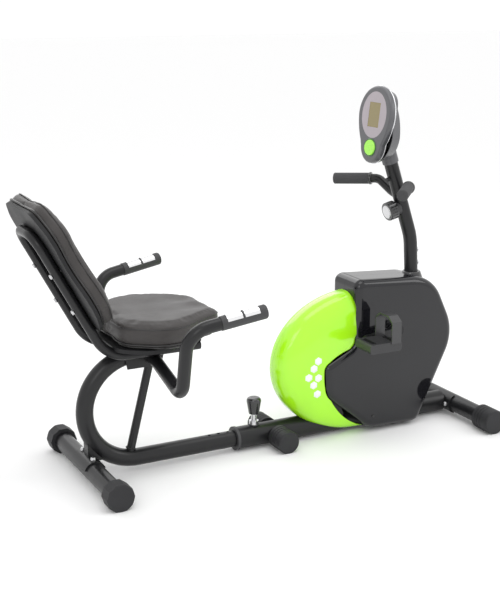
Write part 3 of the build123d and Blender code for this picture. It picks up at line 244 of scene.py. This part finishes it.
# ---- the sleeve, its bushes and the pull pin ---------------------------------------------------
# Nylon bushes line the sleeve that the seat's tube slides in. A turned steel barrel on the welded
# boss guides the pin, whose knob is a glossy black moulding.
nylon = finish("bush_nylon_black", (0.045, 0.045, 0.048), 0.5, 0.0012, 0.00005)
give(nylon, "sleeve_bushes")
turned_steel = finish("turned_steel", (0.62, 0.62, 0.63), 0.24, 0.0011, 0.00003, metal=1.0, mottle=0.06)
give(turned_steel, "pull_pin_housing", "pull_pin", "crank_axle", "crank_bearings", "pedal_spindles",
     "flywheel_axle")
knob_gloss = finish("knob_gloss_black", (0.018, 0.018, 0.019), 0.16, 0.004, 0.00004, coat=0.6)
give(knob_gloss, "pull_knob", "post_collar")


# ---- the bolts ---------------------------------------------------------------------------------
# Zinc-plated round-headed bolts with domed nuts hold the stabilisers, the seat and the post.
zinc = finish("zinc_plate", (0.56, 0.56, 0.57), 0.3, 0.0008, 0.00003, metal=1.0, mottle=0.1)
give(zinc, "seat_frame_bolts", "frame_bolts")
blackened = finish("blackened_screws", (0.05, 0.05, 0.05), 0.35, 0.0008, 0.00002, metal=0.6)
give(blackened, "casing_screws")


# ---- the seat and backrest pads ----------------------------------------------------------------
# Foam pads on moulded boards, in a grained vinyl cover: a top panel welted to a side band, which
# is pulled down over the board's edge and held by a piped hem. Each pad is a cloth that a light
# inner pressure fills out.
def leathercloth(name, colour):
    """Vinyl: a cell pattern gives the grain's creases, a fine noise the pores between them, and a
    broad noise moves the colour and gloss where the cover has been rubbed."""
    material = finish(name, colour, 0.47, 0.0022, 0.00018, mottle=0.07, smudge=0.12, patch=0.05,
                      shine=0.34)
    tree = material.node_tree
    shader = tree.nodes["Principled BSDF"]
    shader.inputs["Sheen Weight"].default_value = 0.12
    shader.inputs["Sheen Roughness"].default_value = 0.4
    cells = tree.nodes.new("ShaderNodeTexVoronoi")
    cells.feature = "DISTANCE_TO_EDGE"
    cells.inputs["Scale"].default_value = 480.0
    crease = tree.nodes.new("ShaderNodeBump")
    crease.inputs["Distance"].default_value = 0.00035
    crease.inputs["Strength"].default_value = 0.7
    place = next(node for node in tree.nodes if node.type == "TEX_COORD")
    pores = next(node for node in tree.nodes if node.type == "BUMP" and node != crease)
    tree.links.new(place.outputs["Object"], cells.inputs["Vector"])
    tree.links.new(cells.outputs["Distance"], crease.inputs["Height"])
    tree.links.new(pores.outputs["Normal"], crease.inputs["Normal"])
    tree.links.new(crease.outputs["Normal"], shader.inputs["Normal"])
    return material


outline_steps = 180
vinyl = leathercloth("grained_vinyl", (0.044, 0.040, 0.039))
welt_vinyl = finish("welt_vinyl", (0.024, 0.023, 0.023), 0.35, 0.002, 0.00008, coat=0.1, shine=0.4)


def corner_arcs(before, here, after, sizes, share):
    """Arcs tangent to the runs on both sides of each corner, as points (corner, step, 2). An arc's
    centre is the corner plus the bisector times the radius over the half angle's sine, and its
    points are that centre plus the radius turned through the corner's angle."""
    back = unit(before - here)
    ahead = unit(after - here)
    half = np.arccos(np.clip((back * ahead).sum(1), -1, 1)) / 2
    centre = here + unit(back + ahead) * (sizes / np.sin(half))[:, None]
    start = here + back * (sizes / np.tan(half))[:, None] - centre
    end = here + ahead * (sizes / np.tan(half))[:, None] - centre
    first = np.arctan2(start[:, 1], start[:, 0])
    sweep = (np.arctan2(end[:, 1], end[:, 0]) - first + np.pi) % (2 * np.pi) - np.pi
    turn = first[:, None] + sweep[:, None] * np.linspace(0, 1, share)
    return centre[:, None] + sizes[:, None, None] * np.stack([np.cos(turn), np.sin(turn)], -1)


def rounded(corners, radii):
    """A closed outline from its corners on one side of the length axis, each cut by its arc."""
    one = np.array(corners, float)
    points = np.vstack([one, one[::-1] * (1, -1)])
    sizes = np.array([*radii, *radii[::-1]], float)
    arcs = corner_arcs(np.roll(points, 1, 0), points, np.roll(points, -1, 0), sizes, 14)
    return even(arcs.reshape(-1, 2), outline_steps)


def even(line, count):
    """A closed line resampled at equal steps of its length."""
    closed = np.vstack([line, line[:1]])
    length = np.concatenate([[0], np.cumsum(np.linalg.norm(np.diff(closed, axis=0), axis=1))])
    steps = np.linspace(0, length[-1], count, endpoint=False)
    return np.stack([np.interp(steps, length, closed[:, axis]) for axis in range(closed.shape[1])], -1)


class Bed:
    """Where a pad lies: its length, width and thickness directions and the CAD pad's own extents."""

    def __init__(self, node, along, out):
        self.axes = np.array([along, np.cross(out, along), out], float)
        flat = np.empty(len(nodes[node].data.vertices) * 3)
        nodes[node].data.vertices.foreach_get("co", flat)
        local = flat.reshape(-1, 3) @ self.axes.T
        self.low, self.high = local.min(0), local.max(0)
        self.size = self.high - self.low

    def fit(self, outline):
        """The outline scaled to the bed's length and width, about the bed's centre."""
        low, high = outline.min(0), outline.max(0)
        return (outline - (low + high) / 2) * self.size[:2] / (high - low)

    def place(self, flat, level):
        """Row coordinates of points given from the bed's centre, at a level above its base."""
        middle = (self.low[:2] + self.high[:2]) / 2
        level = np.broadcast_to(level, flat.shape[:-1])
        local = np.concatenate([flat + middle, (self.low[2] + level)[..., None]], -1)
        return local @ self.axes


def pad_form(bed, outline, edge, inset, taper):
    """A pad before it is filled: rings of the outline, drawn in by a profile that runs out under
    the pad, up its side, round a small edge and in over the top to the middle. The side slopes
    out by the taper from the hem to its widest level, along a quarter sine."""
    top = bed.size[2] - edge - inset
    corner = np.linspace(0, np.pi / 2, 6)[1:]
    hem = 1.0 - 2 * taper / bed.size[1]
    under = [(share * hem, 0.0) for share in (0.0, 0.35, 0.7, 1.0)]
    levels = np.array([0.15, 0.3, 0.5, 0.75, 1.0])
    side = [*zip(hem + (1.0 - hem) * np.sin(levels * np.pi / 2), top * levels)]
    drawn = [(1.0 - edge * (1 - math.cos(a)) * 2 / bed.size[1], top + edge * math.sin(a)) for a in corner]
    rim = drawn[-1][0]
    over = [(rim * share, top + edge) for share in (0.9, 0.75, 0.55, 0.3, 0.0)]
    profile = np.array(under + side + drawn + over)
    small = outline * (bed.size[:2] - 2 * inset) / bed.size[:2]
    return bed.place(profile[:, 0, None, None] * small[None], profile[:, 1, None])


def evaluated(piece):
    """The piece's mesh with its modifiers applied."""
    graph = bpy.context.evaluated_depsgraph_get()
    return bpy.data.meshes.new_from_object(piece.evaluated_get(graph))


def coordinates(mesh):
    """A mesh's vertices as an array."""
    flat = np.empty(len(mesh.vertices) * 3)
    mesh.vertices.foreach_get("co", flat)
    return flat.reshape(-1, 3)


def fill_out(piece, voxel, pressure, most):
    """Remeshes a closed piece, lets a cloth simulation blow it up for a few frames, and keeps each
    point within a largest move from where it started."""
    remesh = piece.modifiers.new("even_mesh", "REMESH")
    remesh.mode = "VOXEL"
    remesh.voxel_size = voxel
    remesh.use_smooth_shade = True
    piece.data = evaluated(piece)
    piece.modifiers.clear()
    start = coordinates(piece.data)
    cloth = piece.modifiers.new("filling", "CLOTH")
    cloth.settings.use_pressure = True
    cloth.settings.uniform_pressure_force = pressure
    cloth.settings.effector_weights.gravity = 0.0
    cloth.settings.quality = 5
    scene = bpy.context.scene
    for step in range(1, 21):
        scene.frame_set(step)
    filled = coordinates(evaluated(piece))
    piece.modifiers.clear()
    scene.frame_set(1)
    move = filled - start
    size = np.linalg.norm(move, axis=1, keepdims=True)
    return start + move * np.minimum(1.0, most / np.maximum(size, 1e-9))


def upholster(name, node, body, bed, outline, sag, belt, taper):
    """One finished pad: filled, flattened against its board, drawn in along the welt line and
    dished by sag(local length, local width) where the body rests."""
    form = pad_form(bed, outline, 0.014, 0.004, taper)
    piece = skin_of(name, form, body, vinyl, wrap_v=True)
    filled = fill_out(piece, 0.005, 2.2, 0.005)
    local = filled @ bed.axes.T
    middle = (bed.low + bed.high) / 2
    along = (local[:, 0] - middle[0]) / (bed.size[0] / 2)
    across = (local[:, 1] - middle[1]) / (bed.size[1] / 2)
    rise = (local[:, 2] - bed.low[2]) / bed.size[2]
    local[:, 2] += sag(along, across) * np.clip((rise - 0.35) / 0.45, 0, 1)
    outward = unit(local[:, :2] - middle[:2])
    pull = np.exp(-((rise - belt) * bed.size[2] / 0.0022) ** 2) * 0.0012
    rim = np.linalg.norm(local[:, :2] - middle[:2], axis=1) > 0.3 * bed.size[1]
    local[:, :2] -= outward * (pull * rim)[:, None]
    local[:, 2] = np.clip(local[:, 2], bed.low[2], bed.high[2] + 0.006)
    piece.data.vertices.foreach_set("co", (local @ bed.axes).ravel())
    piece.data.update()
    soften = piece.modifiers.new("smooth_cover", "SUBSURF")
    soften.levels = soften.render_levels = 1
    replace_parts(piece, node)
    return piece


def girth(piece, bed, level):
    """The pad's outline at a level: for each direction from its middle, the furthest of the points
    within a few millimetres of that level, smoothed round the loop."""
    count = outline_steps
    local = coordinates(piece.data) @ bed.axes.T
    middle = (bed.low + bed.high) / 2
    near = local[np.abs(local[:, 2] - bed.low[2] - level) < 0.004]
    flat = near[:, :2] - middle[:2]
    angle = np.arctan2(flat[:, 1], flat[:, 0])
    reach = np.hypot(flat[:, 0], flat[:, 1])
    sector = ((angle + np.pi) / (2 * np.pi) * count).astype(int) % count
    furthest = np.zeros(count)
    np.maximum.at(furthest, sector, reach)
    known = furthest > 0
    turn = (np.arange(count) + 0.5) / count * 2 * np.pi - np.pi
    furthest = np.interp(turn, turn[known], furthest[known], period=2 * np.pi)
    wave = np.fft.rfft(furthest)
    wave[count // 8:] = 0
    furthest = np.fft.irfft(wave, count)
    return furthest[:, None] * np.stack([np.cos(turn), np.sin(turn)], -1)


def piping(name, piece, bed, level, radius, out):
    """A round welt that lies on the pad's side at a level, a little out from it or sunk into it."""
    flat = girth(piece, bed, level)
    line = bed.place(flat + unit(flat) * out, level)
    skin_of(name, loop_tube(line, bed.axes[2], radius), "seat_frame", welt_vinyl, True, True)


seat_bed = Bed("seat_cushion", (1, 0, 0), (0, 0, 1))
seat_corners = [(0.0, 0.114), (0.112, 0.195), (0.282, 0.086)]
seat_outline = seat_bed.fit(rounded(seat_corners, [0.076, 0.096, 0.046]))


def seat_dish(along, across):
    """Two shallow hollows for the thighs on a hollow for the hips, and a nose that falls away."""
    hips = -0.007 * np.exp(-((along + 0.25) / 0.5) ** 2 - (across / 0.6) ** 2)
    thighs = -0.005 * np.exp(-((along - 0.6) / 0.4) ** 2 - ((np.abs(across) - 0.25) / 0.2) ** 2)
    return hips + thighs - 0.006 * np.clip(along - 0.45, 0, 1) ** 2


seat = upholster("seat_pad", "seat_cushion", "seat_frame", seat_bed, seat_outline, seat_dish, 0.76,
                 0.024)
piping("seat_welt_top", seat, seat_bed, 0.76 * seat_bed.size[2], 0.0016, -0.0004)
piping("seat_hem_upper", seat, seat_bed, 0.0105, 0.0026, 0.0004)
piping("seat_hem_lower", seat, seat_bed, 0.0040, 0.0034, 0.0002)

backrest_lean = math.radians(28.3)
up_slope = (-math.sin(backrest_lean), 0.0, math.cos(backrest_lean))
to_rider = (math.cos(backrest_lean), 0.0, math.sin(backrest_lean))
back_bed = Bed("backrest_cushion", up_slope, to_rider)
back_corners = [(0.0, 0.114), (0.092, 0.182), (0.1925, 0.134), (0.288, 0.164), (0.350, 0.103)]
back_outline = back_bed.fit(rounded(back_corners, [0.070, 0.080, 0.110, 0.060, 0.055]))


def back_dish(along, across):
    """A hollow down the spine that is deepest between the shoulders, and full loins."""
    spine = -0.006 * np.exp(-(across / 0.35) ** 2) * (0.6 + 0.4 * along)
    return spine - 0.004 * np.clip(along - 0.6, 0, 1)


back = upholster("backrest_pad", "backrest_cushion", "seat_frame", back_bed, back_outline,
                 back_dish, 0.70, 0.006)
piping("backrest_welt_front", back, back_bed, 0.70 * back_bed.size[2], 0.0016, -0.0004)
piping("backrest_hem", back, back_bed, 0.0050, 0.0030, 0.0002)

board_plastic = finish("board_plastic_black", (0.012, 0.012, 0.013), 0.55, 0.0012, 0.0001, mottle=0.15,
                       shine=0.3)
give(board_plastic, "seat_tray", "backrest_panel")


# ---- the armrest grips ---------------------------------------------------------------------------
# Moulded sleeves over the armrest tips, each with two chrome-plated plates that read the pulse.
grip_plastic = finish("grip_plastic_black", (0.036, 0.036, 0.038), 0.5, 0.0010, 0.00012)
give(grip_plastic, "armrest_grips", "tension_housing")
chrome = finish("plate_chrome", (0.84, 0.84, 0.85), 0.12, 0.003, 0.00002, metal=1.0, mottle=0.03)
give(chrome, "pulse_plates")


# ---- the casing ----------------------------------------------------------------------------------
# Four injection-moulded shells, screwed together down the middle: two high-gloss black ones in
# front, and two lime green bubbles behind that fit into them along an S-shaped seam.
casing_black = finish("casing_gloss_black", (0.008, 0.008, 0.010), 0.07, 0.02, 0.00003, coat=0.25, smudge=0.03,
                      shine=0.4)
give(casing_black, "casing_front_right", "casing_front_left")
casing_lime = finish("casing_gloss_lime", (0.400, 0.905, 0.012), 0.17, 0.02, 0.00003, coat=0.8, mottle=0.02,
                     smudge=0.03)
bubble_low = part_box("casing_rear_right")[0]
bubble_radii = np.array([0.258, 0.201])
bubble_centre = np.array([bubble_low[0] + bubble_radii[0], bubble_low[2] + bubble_radii[1]])
bubble_half = -bubble_low[1]
seam_hub = bubble_centre + (0.060, 0.032)
seam_gap = 0.0008
half_gap = 0.0002
lip_depth = 0.016
floor_gap = 0.0085
seam_corners = [(0.022, -0.196, 0.070), (-0.122, -0.080, 0.055), (-0.128, 0.007, 0.022), (-0.033, 0.054, 0.030),
                (-0.033, 0.239, 0.024)]


def open_arcs(corners):
    """A line from its corners and their radii, through the arc at each inner corner."""
    points = np.array([corner[:2] for corner in corners])
    sizes = np.array([corner[2] for corner in corners])[1:-1]
    arcs = corner_arcs(points[:-2], points[1:-1], points[2:], sizes, 16)
    return np.vstack([points[:1], arcs.reshape(-1, 2), points[-1:]])


def bubble_width(flat):
    """Half the green bubble's width at points of the side view: the widest half times
    (1 - r^4.5)^(1/2.8), r being the share of the ellipse's radius."""
    r = np.sqrt((((flat - bubble_centre) / bubble_radii) ** 2).sum(-1)).clip(0, 1)
    return bubble_half * (1 - r ** 4.5) ** (1 / 2.8)


def bubble(name, node, side):
    """One green half: on each ray from a hub inside the black shell the grid runs from the seam to
    the ellipse's rim, where |offset + reach * way| is one radius. The steps along a ray follow a
    quarter sine, so they crowd towards the rim. A lip turns in along the seam."""
    seam = open_arcs([*seam_corners, (-0.033, 0.6, 0.0)]) + bubble_centre
    ray = seam - seam_hub
    angle = np.unwrap(np.arctan2(ray[:, 1], ray[:, 0]))
    order = np.argsort(angle)
    turn = np.radians(np.linspace(112.0, 262.0, 150))
    near = np.interp(turn, angle[order] % (2 * np.pi), np.hypot(*ray.T)[order]) + seam_gap
    way = np.stack([np.cos(turn), np.sin(turn)], -1)
    a = ((way / bubble_radii) ** 2).sum(1)
    offset = (seam_hub - bubble_centre) / bubble_radii
    b = 2 * (way / bubble_radii * offset).sum(1)
    c = (offset ** 2).sum() - 1.0
    far = (-b + np.sqrt(b * b - 4 * a * c)) / (2 * a)
    near = np.minimum(near, far - 0.0005)
    step = np.sin(np.linspace(0, 1, 44) * np.pi / 2)
    reach = near[:, None] + (far - near)[:, None] * step
    flat = seam_hub + reach[..., None] * way[:, None]
    width = bubble_width(flat) + half_gap
    lip = np.maximum(width[:, :1] - lip_depth, half_gap)
    flat = np.concatenate([flat[:, :1], flat], 1)
    width = np.concatenate([lip, width], 1)
    points = np.stack([flat[..., 0], side * width, flat[..., 1]], -1)
    points[..., 2] = np.maximum(points[..., 2], floor_gap)
    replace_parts(skin_of(name, points, "front_frame", casing_lime), node)


bubble("green_shell_right", "casing_rear_right", -1)
bubble("green_shell_left", "casing_rear_left", 1)

# Six white hexagons are printed on each green half, in a short arc that follows the seam.
hexagon_white = finish("print_white", (0.86, 0.86, 0.86), 0.3, 0.01, 0.00001, coat=0.4, mottle=0.02)
hexagon_places = np.array([(-0.147, 0.025), (-0.160, 0.005), (-0.175, -0.019), (-0.146, -0.023), (-0.160, -0.042),
                           (-0.148, -0.069)])


def hexagons(name, side):
    """Six-sided discs laid on the bubble: each point's height is the bubble's own at that place."""
    turn = np.radians(np.arange(6) * 60.0 + 30.0)
    corner = 0.0118 * np.stack([np.cos(turn), np.sin(turn)], -1)
    shares = np.array([0.0, 0.5, 0.97, 1.0])
    flat = bubble_centre + hexagon_places[:, None, None] + shares[:, None, None] * corner
    width = bubble_width(flat) + np.array([4, 4, 4, 0])[:, None] * 0.0001
    points = np.stack([flat[..., 0], side * width, flat[..., 1]], -1)
    for number, spot in enumerate(points):
        skin_of(f"{name}_{number + 1}", spot, "front_frame", hexagon_white, wrap_v=True)


hexagons("hexagon_right", -1)
hexagons("hexagon_left", 1)


# ---- the drive -----------------------------------------------------------------------------------
# A cast and turned flywheel with its small pulley, a ribbed belt, the big moulded pulley on the
# crank axle, and the magnet bracket that the tension cable pulls: all inside the casing.
give(finish("cast_iron_turned", (0.22, 0.22, 0.23), 0.34, 0.0012, 0.00006, metal=1.0), "flywheel")
give(finish("plated_pressing", (0.48, 0.48, 0.47), 0.32, 0.0014, 0.00003, metal=1.0), "magnet_bracket")
give(finish("pulley_nylon", (0.05, 0.05, 0.055), 0.5, 0.0015, 0.00006), "crank_pulley")
rubber = finish("belt_rubber_black", (0.020, 0.020, 0.021), 0.7, 0.0010, 0.00008)
give(rubber, "drive_belt", "tension_cable", "wire_grommet")


# ---- the pedals ----------------------------------------------------------------------------------
# Moulded pedals that run on the crank's spindles, each with a strap that buttons to its outer side.
pedal_plastic = finish("pedal_plastic_black", (0.030, 0.030, 0.032), 0.42, 0.0012, 0.0001)
give(pedal_plastic, "pedal_right", "pedal_left")
strap_rubber = finish("strap_rubber_black", (0.038, 0.038, 0.040), 0.38, 0.0016, 0.00008, coat=0.2)
give(strap_rubber, "pedal_strap_right", "pedal_strap_left")


# ---- the handlebar grips ---------------------------------------------------------------------------
# Closed-cell foam sleeves, slipped over the bar's ends with soap and closed at their tips.
foam = finish("grip_foam", (0.052, 0.052, 0.055), 0.85, 0.0012, 0.00035, mottle=0.15)
give(foam, "handlebar_grips")


def grip_collar(name, side):
    """A moulded ring over the sleeve's inner end: the sleeve's vertices nearest to the bar's bend
    give its centre."""
    run = unit(np.array([-85.5, side * 91.9, -6.2]))
    points = coordinates(nodes["handlebar_grips"].data)
    points = points[points[:, 1] * side > 0]
    along = points @ run
    root = points[along < along.min() + 0.0002].mean(0)
    turn = np.linspace(0, 2 * np.pi, 64, endpoint=False)
    across = unit(np.cross(run, (0.0, 0.0, 1.0)))
    lift = np.cross(across, run)
    profile = np.array([(-0.0015, 0.0126), (-0.0015, 0.0166), (-0.0005, 0.0176), (0.0045, 0.0176), (0.0055, 0.0168),
                        (0.0055, 0.0150)])
    circle = np.cos(turn)[:, None] * across + np.sin(turn)[:, None] * lift
    points = root + profile[:, 0, None, None] * run + profile[:, 1, None, None] * circle
    skin_of(name, points, "front_frame", knob_gloss, wrap_v=True)


grip_collar("grip_collar_right", -1)
grip_collar("grip_collar_left", 1)


# ---- the tension knob --------------------------------------------------------------------------------
# A knurled black knob on the rider's side of the post, with a silver disc in its face.
give(knob_gloss, "tension_knob")
knob_tilt = math.radians(14.0)
knob_bed = Bed("tension_knob", (0, 1, 0), (-math.cos(knob_tilt), 0.0, -math.sin(knob_tilt)))
disc_turn = np.linspace(0, 2 * np.pi, 72, endpoint=False)
disc_profile = np.array([(0.0, 0.0010), (0.3, 0.0010), (0.6, 0.0009), (0.85, 0.0007), (0.96, 0.0003), (1.0, -0.0012)])
disc_flat = 0.0188 * disc_profile[:, 0, None, None] * np.stack([np.cos(disc_turn), np.sin(disc_turn)], -1)
skin_of("knob_disc", knob_bed.place(disc_flat, knob_bed.size[2] + disc_profile[:, 1, None]), "tension_knob",
        turned_steel, wrap_v=True)


# ---- the console -------------------------------------------------------------------------------------
# A small battery console: a dark grey egg-shaped front and a domed back, a printed panel with a
# window over the display, and one lime green button.
console_grey = finish("console_satin_grey", (0.085, 0.085, 0.092), 0.36, 0.0010, 0.00005, coat=0.2)
give(console_grey, "console_back", "console_front")
give(finish("panel_film_mauve", (0.370, 0.330, 0.355), 0.4, 0.002, 0.00001, mottle=0.03), "console_panel")
give(finish("display_olive", (0.205, 0.160, 0.045), 0.12, 0.01, 0.00001, coat=0.8, mottle=0.05), "display_glass")
give(finish("button_lime", (0.330, 0.800, 0.060), 0.28, 0.004, 0.00002, coat=0.5, mottle=0.03), "console_button")
give(finish("board_laminate", (0.04, 0.16, 0.07), 0.4, 0.002, 0.00003), "circuit_board")
console_lean = math.radians(7.0)
up_face = (math.sin(console_lean), 0.0, math.cos(console_lean))
off_face = (-math.cos(console_lean), 0.0, math.sin(console_lean))
rim_silver = finish("rim_silver", (0.72, 0.72, 0.74), 0.22, 0.002, 0.00001, metal=1.0, mottle=0.04)
shell_bed = Bed("console_front", up_face, off_face)
rim_line = shell_bed.place(girth(nodes["console_front"], shell_bed, 0.0) * 1.003, 0.0)
skin_of("console_rim", loop_tube(rim_line, shell_bed.axes[2], 0.0018), "front_frame", rim_silver,
        True, True)
button_bed = Bed("console_button", up_face, off_face)
button_line = girth(nodes["console_button"], button_bed, 0.0)
ring_green = finish("ring_dark_green", (0.030, 0.130, 0.020), 0.3, 0.002, 0.00001, coat=0.4)
skin_of("button_ring", loop_tube(button_bed.place(button_line + unit(button_line) * 0.0020, 0.0062),
                                 button_bed.axes[2], 0.0016), "front_frame", ring_green, True, True)
